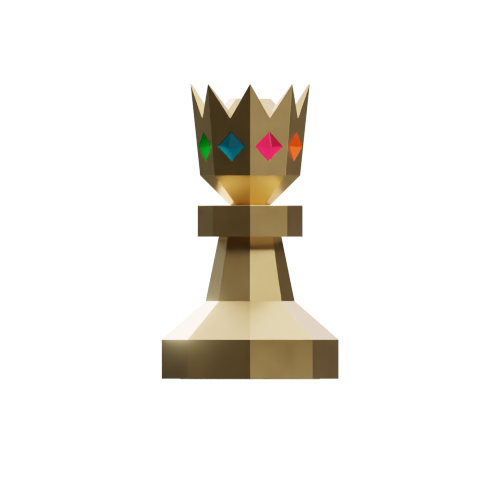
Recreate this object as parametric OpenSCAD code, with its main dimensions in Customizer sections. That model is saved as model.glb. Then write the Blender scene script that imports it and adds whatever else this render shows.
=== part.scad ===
// Crowned chess pawn: octagonal castings stacked on a tie rod, under a lift-off jewelled crown.
// Units are millimetres and +Z is up. The origin is the middle of the felt foot.
// A corner of every octagon points at -Y, which is the front.

/* [Base] */
// Width of the base across its corners
base_across = 30; // [27:0.5:36]
// Height of the upright plinth
plinth_height = 6.65; // [5.5:0.05:9]
// Height of the sloping shoulder on the plinth
shoulder_height = 6.5; // [5.5:0.1:9]
// Thickness of the casting between its hollow and the stem
base_roof = 2.8; // [2.4:0.1:3.4]

/* [Felt pad] */
// Thickness of the felt
pad_thickness = 1; // [0.7:0.1:1.6]
// How far the felt stands out below the metal rim
pad_proud = 0.1; // [0.05:0.05:0.4]
// Width of the metal rim around the felt, at the flats
pad_rim = 1.7; // [1.2:0.1:2.4]
// Width of the step in the casting that the felt is glued to
pad_step = 0.7; // [0.5:0.1:1.2]
// Gap around the edge of the felt
pad_gap = 0.1; // [0.05:0.05:0.2]

/* [Ballast] */
// Gap between the slug and the side of the hollow
ballast_gap = 0.15; // [0.1:0.05:0.3]
// Room around the nut and washers for a socket key
key_room = 0.8; // [0.5:0.1:1.2]

/* [Stem] */
// Width of the stem across its corners at the foot
stem_foot_across = 15.1; // [13.5:0.1:17]
// Width of the stem across its corners at the neck
stem_neck_across = 10.65; // [9:0.05:12.5]
// Height of the stem between base and collar
stem_height = 10.95; // [8:0.05:16]

/* [Collar] */
// Width of the collar across its corners
collar_across = 17.8; // [15:0.1:21]
// Height of the collar
collar_height = 5.3; // [4:0.1:7]

/* [Head] */
// Width of the head across its corners where it stands on the collar
head_foot_across = 6.7; // [6.2:0.1:8]
// Width of the head across its corners at the ledge that carries the crown
head_across = 17; // [16:0.1:18.5]
// Width of the ledge that carries the crown, measured at the corner
ledge_width = 1.3; // [1:0.05:1.7]
// Width of the flat crest across its corners
crest_across = 6.8; // [5:0.1:8]
// Height of the lower slope, from the collar to the ledge
cup_height = 5.1; // [4:0.1:6.5]
// Height of the upright waist
waist_height = 9.2; // [8:0.1:10]
// Height of the upper slope
dome_height = 3.8; // [3:0.1:4.6]

/* [Crown] */
// Height of the crown to its points
crown_height = 15.55; // [14:0.05:18]
// Width of the crown across its points
crown_tip_across = 20.25; // [18.5:0.05:23]
// Depth of the notches between the points
spike_height = 5.85; // [4:0.05:7]
// Thickness of the crown at its points, measured at the corner
crown_lip = 0.25; // [0.2:0.05:0.6]
// Gap between the crown and the waist of the head, measured at the corner
crown_gap = 0.12; // [0.08:0.02:0.2]

/* [Gems] */
// Length of each side of the square stones
gem_side = 3.5; // [2.6:0.1:4]
// Height of the pyramid above the crown
gem_rise = 1.2; // [0.6:0.1:1.6]
// Width of the small flat on the tip of the pyramid, across its corners
gem_table = 0.1; // [0.05:0.05:0.4]
// Depth of the girdle below the face of the crown
gem_girdle = 0.5; // [0.3:0.05:0.65]
// Gap around the girdle in its pocket
gem_gap = 0.04; // [0.02:0.01:0.08]
// Height of the middle of the stones above the foot of the crown
gem_height = 4.9; // [4:0.1:6]

/* [Spigots] */
// Width across corners of the spigot under the stem
foot_spigot_across = 9; // [7:0.1:11]
// Width across corners of the spigot on top of the stem
neck_spigot_across = 7; // [6:0.1:8.2]
// Width across corners of the spigot under the head
head_spigot_across = 5.2; // [4.8:0.1:5.8]
// Length of every spigot
spigot_length = 1.4; // [1:0.1:1.8]
// Gap around every spigot, measured at the corner
spigot_gap = 0.06; // [0.04:0.01:0.1]
// Gap at the end of every spigot
spigot_end_gap = 0.15; // [0.1:0.05:0.3]

/* [Tie rod] */
// Diameter of the tie rod
rod_diameter = 3; // [2.5:0.1:3.4]
// Gap around the rod where it only passes through
rod_gap = 0.1; // [0.05:0.05:0.2]
// Gap around the rod where it is screwed in
thread_gap = 0.02; // [0.02:0.01:0.05]
// Length of the rod inside the head, above the collar
rod_grip = 8; // [5:0.5:10]
// Depth of the tapped hole beyond the end of the rod
drill_room = 0.6; // [0.4:0.1:1.2]
// Length of the rod beyond the nut
rod_tail = 0.3; // [0.2:0.1:0.5]
// Room between the end of the rod and the felt
tail_room = 0.2; // [0.1:0.1:0.5]

/* [Nut and washers] */
// Width of the nut across its flats
nut_flats = 5.5; // [5:0.1:6.5]
// Height of the nut
nut_height = 2.4; // [2:0.1:2.8]
// Outer diameter of the plain washer
washer_diameter = 7; // [6:0.1:8]
// Thickness of the plain washer
washer_thickness = 0.5; // [0.4:0.1:0.8]
// Outer diameter of the split lock washer
lock_diameter = 6.2; // [5.4:0.1:7]
// Thickness of the split lock washer
lock_thickness = 0.8; // [0.6:0.1:1]
// Width of the split in the lock washer
lock_split = 0.6; // [0.3:0.1:1]

/* [Hidden] */
sides = 8;
corner_step = 360 / sides;
flat_share = cos(180 / sides);
fine = 96;

// Heights of the joints between the stacked pieces
rim_z = pad_proud;
plinth_z = rim_z + plinth_height;
foot_z = plinth_z + shoulder_height;
neck_z = foot_z + stem_height;
seat_z = neck_z + collar_height;
ledge_z = seat_z + cup_height;
waist_z = ledge_z + waist_height;
crest_z = waist_z + dome_height;

// Hollow in the base
base_flat = base_across / 2 * flat_share;
foot_flat = stem_foot_across / 2 * flat_share;
pad_seat_radius = base_flat - pad_rim;
hollow_radius = pad_seat_radius - pad_step;
base_wall = pad_rim + pad_step;
roof_z = foot_z - base_roof;
shoulder_lean = (base_flat - foot_flat) / shoulder_height;
roof_radius = base_flat - shoulder_lean * (roof_z - plinth_z) - base_wall;

// Stack of nut and washers, counted up from the felt
tail_z = pad_thickness + tail_room;
nut_z = tail_z + rod_tail;
lock_z = nut_z + nut_height;
washer_z = lock_z + lock_thickness;
pocket_z = washer_z + washer_thickness;
nut_corner = nut_flats / 2 / cos(30);
pocket_radius = max(nut_corner, washer_diameter / 2, lock_diameter / 2) + key_room;

// Holes for the rod
pass_radius = rod_diameter / 2 + rod_gap;
tapped_radius = rod_diameter / 2 + thread_gap;
rod_top_z = seat_z + rod_grip;
tapped_top_z = rod_top_z + drill_room;

// Crown
waist_across = head_across - 2 * ledge_width;
bore_across = waist_across + 2 * crown_gap;
notch_height = crown_height - spike_height;
tip_half_width = crown_tip_across / 2 * sin(180 / sides);
crown_lean = (crown_tip_across - head_across) / 2 * flat_share / crown_height;
crown_tilt = atan(crown_lean);
gem_reach = head_across / 2 * flat_share + crown_lean * gem_height;
over = 1;

// Colours
gold = [0.83, 0.66, 0.30];
steel = [0.66, 0.67, 0.69];
iron = [0.27, 0.27, 0.28];
felt = [0.10, 0.26, 0.16];
green = [0.00, 0.52, 0.12];
blue = [0.00, 0.36, 0.47];
pink = [0.88, 0.11, 0.41];
orange = [0.86, 0.36, 0.06];

// Flat-sided solid with the given number of sides. The outline lists [width across corners, height].
module flat_sided(outline, count) {
    share = cos(180 / count) / 2;
    right = [for (p = outline) [p[0] * share, p[1]]];
    left = [for (i = [len(outline) - 1 : -1 : 0]) [-outline[i][0] * share, outline[i][1]]];
    reach = 2 * max([for (p = outline) p[0]]);
    intersection_for (turn = [0 : count / 2 - 1])
        rotate([0, 0, (turn + 0.5) * 360 / count])
            rotate([90, 0, 0])
                linear_extrude(height = reach, center = true)
                    polygon(concat(right, left));
}

module octagon_solid(outline) {
    flat_sided(outline, sides);
}

// Straight round hole or pin along the axis of the pawn
module round_bar(radius, low, high) {
    translate([0, 0, low])
        cylinder(r = radius, h = high - low, $fn = fine);
}

// Octagonal socket that takes a spigot
module socket(across, low, high) {
    wide = across + 2 * spigot_gap;
    octagon_solid([[wide, low], [wide, high]]);
}

// Hollow of the base, drawn in by the given gap at its side
module hollow(gap, low) {
    rotate_extrude($fn = fine)
        polygon([
            [0, low],
            [hollow_radius - gap, low],
            [hollow_radius - gap, plinth_z],
            [roof_radius - gap, roof_z],
            [0, roof_z]
        ]);
}

// Puts its children on the facet of the crown that faces the given direction, +Z pointing out
module on_facet(direction) {
    rotate([0, 0, direction])
        translate([gem_reach, 0, ledge_z + gem_height])
            rotate([0, 90 + crown_tilt, 0])
                children();
}

module gem(direction) {
    across = gem_side * sqrt(2);
    on_facet(direction)
        flat_sided([[across, -gem_girdle], [across, 0], [gem_table, gem_rise]], 4);
}

module gem_pocket(direction) {
    across = (gem_side + 2 * gem_gap) * sqrt(2);
    on_facet(direction)
        flat_sided([[across, -gem_girdle], [across, over]], 4);
}

// V cut between two points of the crown, square to the facet it cuts
module notch(direction) {
    wide = 2 * tip_half_width;
    rise = 2 * spike_height;
    rotate([0, 0, direction])
        translate([0, 0, ledge_z + notch_height])
            rotate([90, 0, 90])
                linear_extrude(height = crown_tip_across)
                    polygon([[0, 0], [wide, rise], [-wide, rise]]);
}

module base() {
    color(gold)
        difference() {
            octagon_solid([
                [base_across, rim_z],
                [base_across, plinth_z],
                [stem_foot_across, foot_z]
            ]);
            hollow(0, rim_z);
            round_bar(pad_seat_radius, rim_z - over, pad_thickness);
            round_bar(pass_radius, roof_z - over, foot_z + over);
            socket(foot_spigot_across, foot_z - spigot_length - spigot_end_gap, foot_z + over);
        }
}

module ballast() {
    color(iron)
        difference() {
            hollow(ballast_gap, pad_thickness);
            round_bar(pass_radius, 0, roof_z + over);
            round_bar(pocket_radius, 0, pocket_z);
        }
}

module felt_pad() {
    color(felt)
        round_bar(pad_seat_radius - pad_gap, 0, pad_thickness);
}

module tie_rod() {
    color(steel)
        round_bar(rod_diameter / 2, tail_z, rod_top_z);
}

module tie_nut() {
    color(steel)
        difference() {
            translate([0, 0, nut_z])
                cylinder(r = nut_corner, h = nut_height, $fn = 6);
            round_bar(tapped_radius, nut_z - over, lock_z + over);
        }
}

module lock_washer() {
    color(steel)
        difference() {
            round_bar(lock_diameter / 2, lock_z, washer_z);
            round_bar(pass_radius, lock_z - over, washer_z + over);
            translate([0, -lock_split / 2, lock_z - over])
                cube([lock_diameter, lock_split, lock_thickness + 2 * over]);
        }
}

module washer() {
    color(steel)
        difference() {
            round_bar(washer_diameter / 2, washer_z, pocket_z);
            round_bar(pass_radius, washer_z - over, pocket_z + over);
        }
}

module stem() {
    color(gold)
        difference() {
            octagon_solid([
                [foot_spigot_across, foot_z - spigot_length],
                [foot_spigot_across, foot_z],
                [stem_foot_across, foot_z],
                [stem_neck_across, neck_z],
                [neck_spigot_across, neck_z],
                [neck_spigot_across, neck_z + spigot_length]
            ]);
            round_bar(pass_radius, foot_z - spigot_length - over, neck_z + spigot_length + over);
        }
}

module collar() {
    color(gold)
        difference() {
            octagon_solid([[collar_across, neck_z], [collar_across, seat_z]]);
            socket(neck_spigot_across, neck_z - over, neck_z + spigot_length + spigot_end_gap);
            socket(head_spigot_across, seat_z - spigot_length - spigot_end_gap, seat_z + over);
            round_bar(pass_radius, neck_z - over, seat_z + over);
        }
}

module head() {
    color(gold)
        difference() {
            octagon_solid([
                [head_spigot_across, seat_z - spigot_length],
                [head_spigot_across, seat_z],
                [head_foot_across, seat_z],
                [head_across, ledge_z],
                [waist_across, ledge_z],
                [waist_across, waist_z],
                [crest_across, crest_z]
            ]);
            round_bar(tapped_radius, seat_z - spigot_length - over, tapped_top_z);
        }
}

module crown() {
    lean = (crown_tip_across - head_across) / crown_height;
    bowl_top = crown_tip_across - 2 * crown_lip;
    bowl_lean = (bowl_top - bore_across) / spike_height;
    color(gold)
        difference() {
            octagon_solid([
                [head_across, ledge_z],
                [crown_tip_across + lean * over, ledge_z + crown_height + over]
            ]);
            octagon_solid([
                [bore_across, ledge_z - over],
                [bore_across, ledge_z + notch_height],
                [bowl_top + bowl_lean * 2 * over, ledge_z + crown_height + 2 * over]
            ]);
            for (facet = [0 : sides - 1]) {
                notch((facet + 0.5) * corner_step);
                gem_pocket((facet + 0.5) * corner_step);
            }
        }
}

module gem_left_front() {
    color(green) gem(4.5 * corner_step);
}

module gem_front_left() {
    color(blue) gem(5.5 * corner_step);
}

module gem_front_right() {
    color(pink) gem(6.5 * corner_step);
}

module gem_right_front() {
    color(orange) gem(7.5 * corner_step);
}

module gem_right_back() {
    color(green) gem(0.5 * corner_step);
}

module gem_back_right() {
    color(blue) gem(1.5 * corner_step);
}

module gem_back_left() {
    color(pink) gem(2.5 * corner_step);
}

module gem_left_back() {
    color(orange) gem(3.5 * corner_step);
}

base();
ballast();
felt_pad();
tie_rod();
tie_nut();
lock_washer();
washer();
stem();
collar();
head();
crown();
gem_left_front();
gem_front_left();
gem_front_right();
gem_right_front();
gem_right_back();
gem_back_right();
gem_back_left();
gem_left_back();
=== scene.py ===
"""Crowned chess pawn: looks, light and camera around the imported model."""

import math

import bmesh
import bpy
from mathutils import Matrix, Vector, noise


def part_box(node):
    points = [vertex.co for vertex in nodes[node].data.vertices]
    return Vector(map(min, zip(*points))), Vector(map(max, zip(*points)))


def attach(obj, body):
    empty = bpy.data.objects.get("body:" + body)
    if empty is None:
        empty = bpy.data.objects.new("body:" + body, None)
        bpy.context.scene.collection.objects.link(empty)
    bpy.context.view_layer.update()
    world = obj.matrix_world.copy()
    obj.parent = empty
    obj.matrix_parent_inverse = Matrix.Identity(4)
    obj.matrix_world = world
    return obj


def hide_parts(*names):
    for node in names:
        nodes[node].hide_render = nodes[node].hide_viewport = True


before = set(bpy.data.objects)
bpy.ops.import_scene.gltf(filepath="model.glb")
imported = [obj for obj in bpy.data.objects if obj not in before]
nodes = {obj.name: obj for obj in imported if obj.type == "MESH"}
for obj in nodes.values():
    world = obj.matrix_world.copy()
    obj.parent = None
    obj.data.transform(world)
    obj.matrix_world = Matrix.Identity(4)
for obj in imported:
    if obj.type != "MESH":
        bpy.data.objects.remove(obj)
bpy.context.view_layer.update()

MM = 0.001
FULL_WHITE = (1.0, 1.0, 1.0, 1.0)

# Framing of the photograph, which is a level view with no perspective
PIXEL = 0.1696 * MM
FRAME_PIXELS = 500
AXIS_PIXEL = 250.13
RIM_PIXEL = 378.8
RIM_HEIGHT = 0.1 * MM
CAMERA_DISTANCE = 0.6

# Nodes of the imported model, by what they are made of
GILT_NODES = ("base", "stem", "collar", "head", "crown")
STEEL_NODES = ("tie_rod", "tie_nut", "lock_washer", "washer")
GEM_COLOURS = {
    "gem_left_front": "green",
    "gem_front_left": "blue",
    "gem_front_right": "pink",
    "gem_right_front": "orange",
    "gem_right_back": "green",
    "gem_back_right": "blue",
    "gem_back_left": "pink",
    "gem_left_back": "orange",
}

# Rounded edges, and how far a stone is drawn in to stay clear of its setting
GILT_EDGE = 0.03 * MM
GEM_EDGE = 0.05 * MM
GEM_CLEARANCE = 0.01 * MM
EDGE_SEGMENTS = 2
EDGE_ANGLE = math.radians(12)
FLAT_ANGLE = math.radians(1)
WELD_DISTANCE = 0.002 * MM

# Noise: its scales are in features to a metre, and most of its values lie between these two
NOISE_LOW = 0.3
NOISE_HIGH = 0.7


class Tree:
    """Short calls for building a node tree."""

    def __init__(self, tree):
        self.tree = tree
        tree.nodes.clear()

    def add(self, kind, **settings):
        made = self.tree.nodes.new(kind)
        for name, value in settings.items():
            setattr(made, name, value)
        return made

    def link(self, out_socket, in_socket):
        self.tree.links.new(out_socket, in_socket)


def new_material(name):
    material = bpy.data.materials.new(name)
    material.use_nodes = True
    tree = Tree(material.node_tree)
    shader = tree.add("ShaderNodeBsdfPrincipled")
    output = tree.add("ShaderNodeOutputMaterial")
    tree.link(shader.outputs["BSDF"], output.inputs["Surface"])
    return material, tree, shader


def object_noise(tree, scale, detail=2.0, stretch=(1, 1, 1)):
    """Noise in the object's own coordinates, drawn out along an axis where stretch is below 1."""
    place = tree.add("ShaderNodeTexCoord")
    squeeze = tree.add("ShaderNodeVectorMath", operation="MULTIPLY")
    squeeze.inputs[1].default_value = stretch
    grain = tree.add("ShaderNodeTexNoise")
    grain.inputs["Scale"].default_value = scale
    grain.inputs["Detail"].default_value = detail
    tree.link(place.outputs["Object"], squeeze.inputs[0])
    tree.link(squeeze.outputs[0], grain.inputs["Vector"])
    return grain.outputs["Fac"]


def ranged(tree, value, low, high, start=NOISE_LOW, end=NOISE_HIGH):
    """The value carried from the span of start to end over to the span of low to high."""
    spread = tree.add("ShaderNodeMapRange")
    spread.inputs["From Min"].default_value = start
    spread.inputs["From Max"].default_value = end
    spread.inputs["To Min"].default_value = low
    spread.inputs["To Max"].default_value = high
    tree.link(value, spread.inputs["Value"])
    return spread.outputs["Result"]


def faded(tree, value, gone, full):
    """One where value reaches full, nothing where it reaches gone, and smooth between."""
    fade = tree.add("ShaderNodeMapRange", interpolation_type="SMOOTHSTEP")
    fade.inputs["From Min"].default_value = gone
    fade.inputs["From Max"].default_value = full
    tree.link(value, fade.inputs["Value"])
    return fade.outputs["Result"]


def calculate(tree, operation, first, second=None):
    """A Math node on one socket, and on a second socket or number."""
    node = tree.add("ShaderNodeMath", operation=operation)
    tree.link(first, node.inputs[0])
    if isinstance(second, (int, float)):
        node.inputs[1].default_value = second
    elif second is not None:
        tree.link(second, node.inputs[1])
    return node.outputs["Value"]


def along(tree, aim, towards):
    dot = tree.add("ShaderNodeVectorMath", operation="DOT_PRODUCT")
    dot.inputs[1].default_value = towards
    tree.link(aim, dot.inputs[0])
    return dot.outputs["Value"]


def colour_mix(tree, factor, first, second):
    mix = tree.add("ShaderNodeMix", data_type="RGBA")
    mix.inputs["A"].default_value = (*first, 1)
    mix.inputs["B"].default_value = (*second, 1)
    tree.link(factor, mix.inputs["Factor"])
    return mix.outputs["Result"]


def clouded(tree, clouds, first, second):
    """A colour that drifts between two with a noise."""
    return colour_mix(tree, ranged(tree, clouds, 0, 1), first, second)


def bump(tree, height, strength, distance):
    node = tree.add("ShaderNodeBump")
    node.inputs["Strength"].default_value = strength
    node.inputs["Distance"].default_value = distance
    tree.link(height, node.inputs["Height"])
    return node.outputs["Normal"]


def direction(azimuth, elevation=0):
    """Unit vector at degrees to the right of the camera's side, and above the level."""
    around, up = math.radians(azimuth), math.radians(elevation)
    return Vector((math.sin(around) * math.cos(up), -math.cos(around) * math.cos(up), math.sin(up)))


def finished_mesh(name, shape):
    data = bpy.data.meshes.new(name)
    shape.to_mesh(data)
    shape.free()
    return data


def placed(name, data):
    """A new object in the scene."""
    made = bpy.data.objects.new(name, data)
    bpy.context.scene.collection.objects.link(made)
    return made


def dress(name, *materials):
    """Gives a CAD node its materials and plain flat faces."""
    data = nodes[name].data
    data.materials.clear()
    for material in materials:
        data.materials.append(material)
    for face in data.polygons:
        face.use_smooth = False


def soften_edges(name, width, edge_slot=0):
    """Rounds the sharp edges of a CAD node by modifiers alone, in the material of a slot."""
    node = nodes[name]
    weld = node.modifiers.new("weld", "WELD")
    weld.merge_threshold = WELD_DISTANCE
    flatten = node.modifiers.new("flatten", "DECIMATE")
    flatten.decimate_type = "DISSOLVE"
    flatten.angle_limit = FLAT_ANGLE
    bevel = node.modifiers.new("edges", "BEVEL")
    bevel.width = width
    bevel.segments = EDGE_SEGMENTS
    bevel.limit_method = "ANGLE"
    bevel.angle_limit = EDGE_ANGLE
    bevel.use_clamp_overlap = True
    bevel.material = edge_slot


# Gilding, with polished edges
GOLD_DEEP = (0.925, 0.612, 0.226)
GOLD_PALE = (0.975, 0.658, 0.250)
GOLD_ROUGHNESS = (0.345, 0.375)
EDGE_DEEP = (0.95, 0.65, 0.26)
EDGE_PALE = (0.98, 0.70, 0.31)
EDGE_ROUGHNESS = (0.27, 0.31)
GILT_CLOUD_SCALE = 260
GILT_CLOUD_DETAIL = 3.0
GRAIN_SCALE = 5200
GRAIN_DETAIL = 2.0
GRAIN_STRETCH = (1, 1, 0.12)
GRAIN_STRENGTH = 0.03
GRAIN_HEIGHT = 0.02 * MM
HAIRLINE_SCALE = 1500
HAIRLINE_DETAIL = 1.0
HAIRLINE_STRETCH = (1, 1, 0.04)
HAIRLINE_ROUGHNESS = 0.01
LACQUER_WEIGHT = 1.0
LACQUER_ROUGHNESS = 0.33


def gilt(name, deep, pale, roughness):
    """Satin gold plate under clear lacquer, with faint clouds, hairline marks and a fine grain."""
    material, tree, shader = new_material(name)
    clouds = object_noise(tree, GILT_CLOUD_SCALE, GILT_CLOUD_DETAIL)
    grain = object_noise(tree, GRAIN_SCALE, GRAIN_DETAIL, GRAIN_STRETCH)
    hairlines = object_noise(tree, HAIRLINE_SCALE, HAIRLINE_DETAIL, HAIRLINE_STRETCH)
    polish = ranged(tree, clouds, *roughness)
    marks = ranged(tree, hairlines, -HAIRLINE_ROUGHNESS, HAIRLINE_ROUGHNESS)
    tree.link(clouded(tree, clouds, deep, pale), shader.inputs["Base Color"])
    tree.link(calculate(tree, "ADD", polish, marks), shader.inputs["Roughness"])
    tree.link(bump(tree, grain, GRAIN_STRENGTH, GRAIN_HEIGHT), shader.inputs["Normal"])
    shader.inputs["Metallic"].default_value = 1.0
    shader.inputs["Coat Weight"].default_value = LACQUER_WEIGHT
    shader.inputs["Coat Roughness"].default_value = LACQUER_ROUGHNESS
    return material


gold_plate = gilt("gilt", GOLD_DEEP, GOLD_PALE, GOLD_ROUGHNESS)
gold_edge = gilt("gilt_edge", EDGE_DEEP, EDGE_PALE, EDGE_ROUGHNESS)
for name in GILT_NODES:
    dress(name, gold_plate, gold_edge)
    soften_edges(name, GILT_EDGE, edge_slot=1)

# Ballast and fastenings inside
IRON_DEEP = (0.10, 0.10, 0.11)
IRON_PALE = (0.16, 0.155, 0.15)
IRON_ROUGHNESS = 0.62
STEEL_DEEP = (0.55, 0.56, 0.58)
STEEL_PALE = (0.62, 0.63, 0.66)
STEEL_ROUGHNESS = 0.32
METAL_CLOUD_SCALE = 900
METAL_CLOUD_DETAIL = 4.0
METAL_CLOUD_SPREAD = 0.2
METAL_BUMP_STRENGTH = 0.15
METAL_BUMP_HEIGHT = 0.05 * MM


def plain_metal(name, deep, pale, roughness):
    material, tree, shader = new_material(name)
    clouds = object_noise(tree, METAL_CLOUD_SCALE, METAL_CLOUD_DETAIL)
    smooth, rough = roughness * (1 - METAL_CLOUD_SPREAD), roughness * (1 + METAL_CLOUD_SPREAD)
    tree.link(clouded(tree, clouds, deep, pale), shader.inputs["Base Color"])
    tree.link(ranged(tree, clouds, smooth, rough), shader.inputs["Roughness"])
    tree.link(bump(tree, clouds, METAL_BUMP_STRENGTH, METAL_BUMP_HEIGHT), shader.inputs["Normal"])
    shader.inputs["Metallic"].default_value = 1.0
    return material


dress("ballast", plain_metal("cast_iron", IRON_DEEP, IRON_PALE, IRON_ROUGHNESS))
steel = plain_metal("zinc_steel", STEEL_DEEP, STEEL_PALE, STEEL_ROUGHNESS)
for name in STEEL_NODES:
    dress(name, steel)

# Stones: half of their diagonal, how far the crown's sides lean, and the width of the painted highlight
# line on the upper ridge
GEM_REACH = 2.47 * MM
CROWN_LEAN = math.radians(5.5)
RIDGE_HIGHLIGHT_WIDTH = 0.16 * MM
STONE_CLOUD_SCALE = 700
STONE_CLOUD_DETAIL = 3.0
STONE_CLOUD_SPREAD = 0.05
STONE_ROUGHNESS = (0.10, 0.16)
STONE_IOR = 1.5
STONE_SHINE = 0.04
# Each stone's colour carries painted light and shade: a shaded (deep) and a lit (bright) colour, the
# painted highlight colour of the upper ridge, the painted share of the lit colour on each of the four
# faces, how softly they run together, and how much darker the middle is painted
STONE_LOOKS = {
    "green": {
        "deep": (0.0, 0.026, 0.0003),
        "bright": (0.0, 0.27, 0.010),
        "painted_ridge_highlight": (0.0, 0.05, 0.002),
        "painted_facet_light": (0.0, 0.16, 0.08, 0.9),
        "blend": 0.6,
        "painted_core_shade": 0.4,
    },
    "blue": {
        "deep": (0.0, 0.028, 0.043),
        "bright": (0.0, 0.12, 0.16),
        "painted_ridge_highlight": (0.0, 0.030, 0.045),
        "painted_facet_light": (0.05, 0.04, 1.0, 0.2),
        "blend": 0.2,
        "painted_core_shade": 1.0,
    },
    "pink": {
        "deep": (0.27, 0.004, 0.022),
        "bright": (0.98, 0.008, 0.060),
        "painted_ridge_highlight": (0.52, 0.034, 0.075),
        "painted_facet_light": (0.85, 0.0, 1.0, 1.0),
        "blend": 0.05,
        "painted_core_shade": 0.45,
    },
    "orange": {
        "deep": (0.44, 0.020, 0.0002),
        "bright": (0.96, 0.062, 0.008),
        "painted_ridge_highlight": (0.6, 0.034, 0.001),
        "painted_facet_light": (0.2, 0.0, 1.0, 0.5),
        "blend": 0.06,
        "painted_core_shade": 0.15,
    },
}


def stone_place(tree, centre):
    """How far a point is to the right of a stone's middle, and how far up along the crown's side."""
    outward = Vector((centre.x, centre.y, 0)).normalized()
    rightward = Vector((-outward.y, outward.x, 0))
    upward = Vector((0, 0, 1)) * math.cos(CROWN_LEAN) + outward * math.sin(CROWN_LEAN)
    place = tree.add("ShaderNodeTexCoord").outputs["Object"]
    aside = along(tree, place, rightward)
    lift = calculate(tree, "SUBTRACT", along(tree, place, upward), centre.dot(upward))
    return aside, lift


def painted_facet_shading(tree, aside, lift, painted_facet_light, blend):
    """Painted light and shade: the four faces' shares of the bright colour, which run into each other
    over the blend.
    """
    upper_left, upper_right, lower_left, lower_right = painted_facet_light
    soft = blend * GEM_REACH
    upper = faded(tree, lift, -soft, soft)
    right = faded(tree, aside, -soft, soft)
    share = tree.add("ShaderNodeMix")
    tree.link(upper, share.inputs["Factor"])
    tree.link(ranged(tree, right, lower_left, lower_right, 0, 1), share.inputs["A"])
    tree.link(ranged(tree, right, upper_left, upper_right, 0, 1), share.inputs["B"])
    return share.outputs["Result"]


def stone(name, centre, deep, bright, painted_ridge_highlight, painted_facet_light, blend, painted_core_shade):
    """Cut stone with painted light and shade, for a gem with the given middle.

    The painted facet light is the share of the bright colour painted at upper left, upper right,
    lower left and lower right. The painted core shade is how much darker its middle is painted,
    and the painted ridge highlight is the colour painted along its upper ridge.
    """
    material, tree, shader = new_material(name)
    aside, lift = stone_place(tree, centre)
    beside = calculate(tree, "ABSOLUTE", aside)
    out = calculate(tree, "ADD", beside, calculate(tree, "ABSOLUTE", lift))
    # Painted shade: the stone is painted darker towards its middle
    clear = ranged(tree, out, 1 - painted_core_shade, 1, 0, GEM_REACH)
    clouds = object_noise(tree, STONE_CLOUD_SCALE, STONE_CLOUD_DETAIL)
    uneven = ranged(tree, clouds, 1 - STONE_CLOUD_SPREAD, 1 + STONE_CLOUD_SPREAD)
    # Painted light and shade: how far each point is towards the lit colour, with a random tone
    level = calculate(tree, "MULTIPLY", painted_facet_shading(tree, aside, lift, painted_facet_light, blend), clear)
    level = calculate(tree, "MULTIPLY", level, uneven)
    # Painted highlight: a thin lit line along the upper ridge, in the ridge colour
    on_line = faded(tree, beside, RIDGE_HIGHLIGHT_WIDTH, 0)
    on_upper_half = faded(tree, lift, 0, RIDGE_HIGHLIGHT_WIDTH)
    ridge = tree.add("ShaderNodeMix", data_type="RGBA")
    tree.link(calculate(tree, "MULTIPLY", on_line, on_upper_half), ridge.inputs["Factor"])
    tree.link(colour_mix(tree, level, deep, bright), ridge.inputs["A"])
    ridge.inputs["B"].default_value = (*painted_ridge_highlight, 1)
    tree.link(ridge.outputs["Result"], shader.inputs["Base Color"])
    tree.link(ranged(tree, clouds, *STONE_ROUGHNESS), shader.inputs["Roughness"])
    shader.inputs["IOR"].default_value = STONE_IOR
    shader.inputs["Specular IOR Level"].default_value = STONE_SHINE
    return material


for name, colour in GEM_COLOURS.items():
    low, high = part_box(name)
    centre = (Vector(low) + Vector(high)) / 2
    dress(name, stone(f"stone_{name}", centre, **STONE_LOOKS[colour]))
    soften_edges(name, GEM_EDGE)
    shrink = nodes[name].modifiers.new("clearance", "DISPLACE")
    shrink.strength = -GEM_CLEARANCE
    shrink.mid_level = 0.0

# Felt disc under the base: two faces with a rounded rim, slightly uneven below
FELT_RADIUS = 12.06 * MM
FELT_THICKNESS = 1.0 * MM
FELT_RIM = 0.3 * MM
FELT_DIP = 0.05 * MM
FELT_NAP = 1.1 * MM
FELT_RINGS = 16
FELT_SPOKES = 96
RIM_STEPS = 5
FELT_DARK = (0.012, 0.050, 0.024)
FELT_LIGHT = (0.030, 0.095, 0.050)
FELT_ROUGHNESS = (0.85, 1.0)
FELT_SHEEN = 0.35
FELT_SHEEN_ROUGHNESS = 0.5
FIBRE_SCALE = 3800
FIBRE_DETAIL = 5.0
FIBRE_STRENGTH = 0.8
FIBRE_HEIGHT = 0.15 * MM
FELT_PATCH_SCALE = 420
FELT_PATCH_DETAIL = 3.0


def felt_outline():
    """Distance from the axis and height, from the middle of the lower face round to the upper one."""
    flat = FELT_RADIUS - FELT_RIM
    lower = [(flat * ring / FELT_RINGS, 0.0) for ring in range(1, FELT_RINGS + 1)]
    rim = []
    for step in range(1, RIM_STEPS):
        turn = math.pi * step / RIM_STEPS
        rim.append((
            flat + FELT_RIM * math.sin(turn),
            FELT_THICKNESS / 2 * (1 - math.cos(turn)),
        ))
    upper = [(flat * ring / FELT_RINGS, FELT_THICKNESS) for ring in range(FELT_RINGS, 0, -1)]
    return lower + rim + upper


def felt_row(shape, radius, height):
    """A ring of corners that the nap lifts unevenly, most on the lower face."""
    row = []
    for spoke in range(FELT_SPOKES):
        turn = math.tau * spoke / FELT_SPOKES
        x, y = radius * math.cos(turn), radius * math.sin(turn)
        nap = 0.5 + 0.5 * noise.noise(Vector((x, y, height)) / FELT_NAP)
        lift = FELT_DIP * max(0.0, min(1.0, nap)) * (1 - height / FELT_THICKNESS)
        row.append(shape.verts.new((x, y, height + lift)))
    return row


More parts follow.
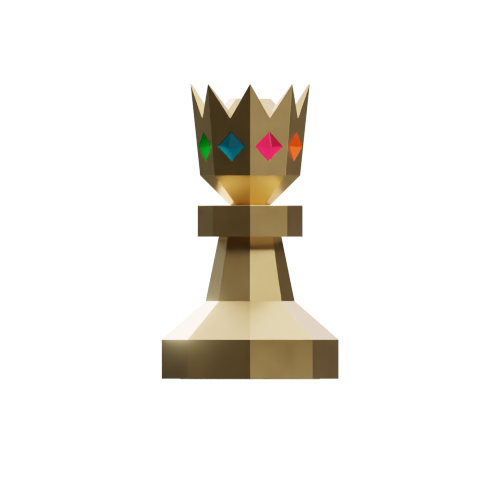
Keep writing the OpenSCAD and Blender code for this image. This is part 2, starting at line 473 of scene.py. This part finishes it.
def felt_disc():
    shape = bmesh.new()
    rows = [felt_row(shape, radius, height) for radius, height in felt_outline()]
    for first, second in zip(rows, rows[1:]):
        for spoke in range(FELT_SPOKES):
            after = (spoke + 1) % FELT_SPOKES
            shape.faces.new((first[spoke], second[spoke], second[after], first[after]))
    for row, height in ((rows[0], 0.0), (rows[-1], FELT_THICKNESS)):
        centre = shape.verts.new((0, 0, height))
        for spoke in range(FELT_SPOKES):
            shape.faces.new((centre, row[spoke], row[(spoke + 1) % FELT_SPOKES]))
    bmesh.ops.recalc_face_normals(shape, faces=shape.faces)
    for face in shape.faces:
        face.smooth = True
    return placed("felt_disc", finished_mesh("felt_disc", shape))


def felt_cloth():
    material, tree, shader = new_material("felt")
    fibres = object_noise(tree, FIBRE_SCALE, FIBRE_DETAIL)
    patches = object_noise(tree, FELT_PATCH_SCALE, FELT_PATCH_DETAIL)
    tree.link(clouded(tree, fibres, FELT_DARK, FELT_LIGHT), shader.inputs["Base Color"])
    tree.link(ranged(tree, patches, *FELT_ROUGHNESS), shader.inputs["Roughness"])
    tree.link(bump(tree, fibres, FIBRE_STRENGTH, FIBRE_HEIGHT), shader.inputs["Normal"])
    shader.inputs["Sheen Weight"].default_value = FELT_SHEEN
    shader.inputs["Sheen Roughness"].default_value = FELT_SHEEN_ROUGHNESS
    return material


felt = felt_disc()
felt.data.materials.append(felt_cloth())
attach(felt, "pawn")
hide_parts("felt_pad")

# Floor, which glows a little and stays out of reflections
FLOOR_RADIUS = 1.5
FLOOR_DROP = 0.02 * MM
FLOOR_SPOKES = 96
FLOOR_DARK = (0.84, 0.84, 0.84)
FLOOR_LIGHT = (0.88, 0.88, 0.88)
FLOOR_CLOUD_SCALE = 9
FLOOR_CLOUD_DETAIL = 3.0
FLOOR_ROUGHNESS = 0.9
FLOOR_SHINE = 0.1
FLOOR_GLOW = 1.3


def floor_paint():
    material, tree, shader = new_material("floor_paint")
    clouds = object_noise(tree, FLOOR_CLOUD_SCALE, FLOOR_CLOUD_DETAIL)
    tree.link(clouded(tree, clouds, FLOOR_DARK, FLOOR_LIGHT), shader.inputs["Base Color"])
    shader.inputs["Roughness"].default_value = FLOOR_ROUGHNESS
    shader.inputs["Specular IOR Level"].default_value = FLOOR_SHINE
    shader.inputs["Emission Color"].default_value = FULL_WHITE
    shader.inputs["Emission Strength"].default_value = FLOOR_GLOW
    return material


def floor_disc():
    shape = bmesh.new()
    bmesh.ops.create_circle(shape, cap_ends=True, radius=FLOOR_RADIUS, segments=FLOOR_SPOKES)
    made = placed("floor", finished_mesh("floor", shape))
    made.location.z = -FLOOR_DROP
    made.data.materials.append(floor_paint())
    made.visible_glossy = False
    made.visible_transmission = False
    made.visible_shadow = False
    return made


floor = floor_disc()

# Dark cards close to the plinth, seen only in reflections.
# Azimuth of the plinth facet that a card is for, distance from it, width and height
CARDS = {
    "left_card": (-67.5, 16 * MM, 18 * MM, 16 * MM),
    "right_card": (22.5, 24 * MM, 50 * MM, 9 * MM),
}
PLINTH_FACET_REACH = 13.86 * MM
PLINTH_FACET_HEIGHT = 3.4 * MM
CARD_DARK = (0.001, 0.001, 0.001)
CARD_LIGHT = (0.002, 0.002, 0.002)
CARD_CLOUD_SCALE = 300
CARD_ROUGHNESS = 0.9


def card_paint():
    """Black with no shine, so that the lamps don't light it up."""
    material, tree, shader = new_material("card_paint")
    clouds = object_noise(tree, CARD_CLOUD_SCALE)
    tree.link(clouded(tree, clouds, CARD_DARK, CARD_LIGHT), shader.inputs["Base Color"])
    shader.inputs["Roughness"].default_value = CARD_ROUGHNESS
    shader.inputs["Specular IOR Level"].default_value = 0.0
    return material


def dark_card(name, azimuth, distance, width, height, paint):
    """A card that a plinth facet mirrors to the camera, from twice as far round as the facet."""
    facet = direction(azimuth) * PLINTH_FACET_REACH + Vector((0, 0, PLINTH_FACET_HEIGHT))
    middle = facet + direction(2 * azimuth) * distance
    aside = direction(2 * azimuth + 90) * width / 2
    rise = Vector((0, 0, height / 2))
    corners = [middle - aside - rise, middle + aside - rise, middle + aside + rise, middle - aside + rise]
    data = bpy.data.meshes.new(name)
    data.from_pydata(corners, [], [(0, 1, 2, 3)])
    data.materials.append(paint)
    made = placed(name, data)
    made.visible_camera = False
    made.visible_diffuse = False
    made.visible_transmission = False
    made.visible_shadow = False


black_paint = card_paint()
for name, measures in CARDS.items():
    dark_card(name, *measures, black_paint)

# Camera
scene = bpy.context.scene
camera = placed("camera", bpy.data.cameras.new("camera"))
camera.data.type = "ORTHO"
camera.data.ortho_scale = FRAME_PIXELS * PIXEL
frame_middle = FRAME_PIXELS / 2
camera.location = (
    (frame_middle - AXIS_PIXEL) * PIXEL,
    -CAMERA_DISTANCE,
    RIM_HEIGHT + (RIM_PIXEL - frame_middle) * PIXEL,
)
camera.rotation_euler = (math.radians(90), 0, 0)
scene.camera = camera

# Film: the backdrop is left clear here, and white is put behind the finished picture below
FILTER_PIXELS = 1.2
scene.cycles.filter_width = FILTER_PIXELS
scene.render.film_transparent = True
scene.view_settings.view_transform = "Filmic"

# Studio light: soft panels around the object and a faint even fill.
# Azimuth is to the right of the camera, and all angles are in degrees
PLAIN = (1.00, 1.00, 1.00)
OLIVE = (0.98, 1.08, 0.90)
WARM = (1.09, 0.98, 0.93)
ROSE = (1.08, 0.88, 0.98)
YELLOW = (1.14, 1.04, 0.82)
GOLDEN = (1.20, 1.08, 0.72)
# Round panels: azimuth, elevation, radius of the full part, radius where it has faded out, strength, tint
ROUND_PANELS = {
    "above": (-30, 67, 26, 38, 1.5, WARM),
    "left": (-120, 40, 12, 21, 3.4, PLAIN),
    "far left": (-136, 16, 4, 12, 0.45, OLIVE),
    "low left": (-136, -16, 3, 12, 0.4, OLIVE),
    "behind left": (-156, 32, 2, 10, 18.3, ROSE),
    "low behind left": (-150, 20, 3, 10, 2.9, PLAIN),
    "behind": (185, 44, 26, 38, 2.0, ROSE),
    "behind right": (117, 54, 11, 19, 3.4, PLAIN),
    "low behind right": (170, 32, 5, 14, 1.6, WARM),
    "low far right": (147, 26, 3, 10, 2.0, WARM),
    "far right": (136, -6, 5, 14, 0.05, WARM),
    "right": (67, 39, 6, 14, 6.7, WARM),
    "low right": (73, -25, 20, 28, 0.9, WARM),
    "below": (156, -55, 43, 54, 0.13, GOLDEN),
}
# Key panel, which is long: azimuth, elevation, half width, half height and soft margin
KEY_PANEL = (30, 42, 19, 5.5, 3.0)
KEY_STRENGTH = 16.4
FILL_STRENGTH = 0.017


def round_panel(tree, aim, azimuth, elevation, full, gone):
    facing = along(tree, aim, direction(azimuth, elevation))
    return faded(tree, facing, math.cos(math.radians(gone)), math.cos(math.radians(full)))


def long_panel(tree, aim, azimuth, elevation, half_width, half_height, margin):
    ahead = along(tree, aim, direction(azimuth))
    beside = along(tree, aim, direction(azimuth + 90))
    turn = calculate(tree, "ABSOLUTE", calculate(tree, "ARCTAN2", beside, ahead))
    rise = calculate(tree, "ARCSINE", along(tree, aim, (0, 0, 1)))
    rise = calculate(tree, "ABSOLUTE", calculate(tree, "SUBTRACT", rise, math.radians(elevation)))
    width = faded(tree, turn, math.radians(half_width + margin), math.radians(half_width))
    height = faded(tree, rise, math.radians(half_height + margin), math.radians(half_height))
    return calculate(tree, "MULTIPLY", width, height)


def lamp(tree, level, strength, tint):
    glow = tree.add("ShaderNodeBackground")
    glow.inputs["Color"].default_value = (*tint, 1)
    tree.link(calculate(tree, "MULTIPLY", level, strength), glow.inputs["Strength"])
    return glow.outputs["Background"]


def studio():
    """A world that is the sum of the fill and all panels."""
    world = bpy.data.worlds.new("studio")
    world.use_nodes = True
    tree = Tree(world.node_tree)
    aim = tree.add("ShaderNodeTexCoord").outputs["Generated"]
    fill = tree.add("ShaderNodeBackground")
    fill.inputs["Color"].default_value = FULL_WHITE
    fill.inputs["Strength"].default_value = FILL_STRENGTH
    lamps = [lamp(tree, round_panel(tree, aim, *place), strength, tint)
             for *place, strength, tint in ROUND_PANELS.values()]
    lamps.append(lamp(tree, long_panel(tree, aim, *KEY_PANEL), KEY_STRENGTH, YELLOW))
    light = fill.outputs["Background"]
    for glow in lamps:
        total = tree.add("ShaderNodeAddShader")
        tree.link(light, total.inputs[0])
        tree.link(glow, total.inputs[1])
        light = total.outputs["Shader"]
    output = tree.add("ShaderNodeOutputWorld")
    tree.link(light, output.inputs["Surface"])
    return world


scene.world = studio()

# Glow of the lens around the brightest facets
GLOW_FROM = 5.6
GLOW_STRENGTH = 3.4
GLOW_SIZE = 0.2
GLOW_TINT = (0.8, 1.0, 0.7)


def with_glow(lens, image):
    bloom = lens.add("CompositorNodeGlare", glare_type="BLOOM", quality="HIGH")
    bloom.inputs["Threshold"].default_value = GLOW_FROM
    bloom.inputs["Smoothness"].default_value = 0.0
    bloom.inputs["Strength"].default_value = GLOW_STRENGTH
    bloom.inputs["Size"].default_value = GLOW_SIZE
    bloom.inputs["Tint"].default_value = (*GLOW_TINT, 1)
    lens.link(image, bloom.inputs["Image"])
    return bloom.outputs["Image"]


# White backdrop: light is turned to brightness as the eye sees it, light / (light + EYE_LEVEL),
# mixed with white by how far the object covers a pixel, and turned back, so the outline stays true
EYE_LEVEL = 0.8
WHITE_LIGHT = 18.0
EYE = (EYE_LEVEL, EYE_LEVEL, EYE_LEVEL, 1.0)
WHITE_LEVEL = WHITE_LIGHT / (WHITE_LIGHT + EYE_LEVEL)
WHITE = (WHITE_LEVEL, WHITE_LEVEL, WHITE_LEVEL, 1.0)


def blended(lens, operation, first, second, factor=1.0):
    """A Mix node of the lens on two sockets or colours, by a factor that is a number or a socket."""
    node = lens.add("CompositorNodeMixRGB", blend_type=operation)
    for socket, value in zip(node.inputs, (factor, first, second)):
        if isinstance(value, bpy.types.NodeSocket):
            lens.link(value, socket)
        else:
            socket.default_value = value
    return node.outputs["Image"]


def on_white(lens, image, covered):
    loose = lens.add("CompositorNodePremulKey", mapping="PREMUL_TO_STRAIGHT")
    lens.link(image, loose.inputs["Image"])
    light_seen = loose.outputs["Image"]
    brightness = blended(lens, "DIVIDE", light_seen, blended(lens, "ADD", light_seen, EYE))
    brightness = blended(lens, "MIX", WHITE, brightness, covered)
    light_shown = blended(lens, "DIVIDE", brightness, blended(lens, "SUBTRACT", FULL_WHITE, brightness))
    light_shown = blended(lens, "MULTIPLY", light_shown, EYE)
    solid = lens.add("CompositorNodeSetAlpha", mode="REPLACE_ALPHA")
    lens.link(light_shown, solid.inputs["Image"])
    return solid.outputs["Image"]


scene.use_nodes = True
lens = Tree(scene.node_tree)
picture = lens.add("CompositorNodeRLayers")
glowing = with_glow(lens, picture.outputs["Image"])
result = lens.add("CompositorNodeComposite")
lens.link(on_white(lens, glowing, picture.outputs["Alpha"]), result.inputs["Image"])
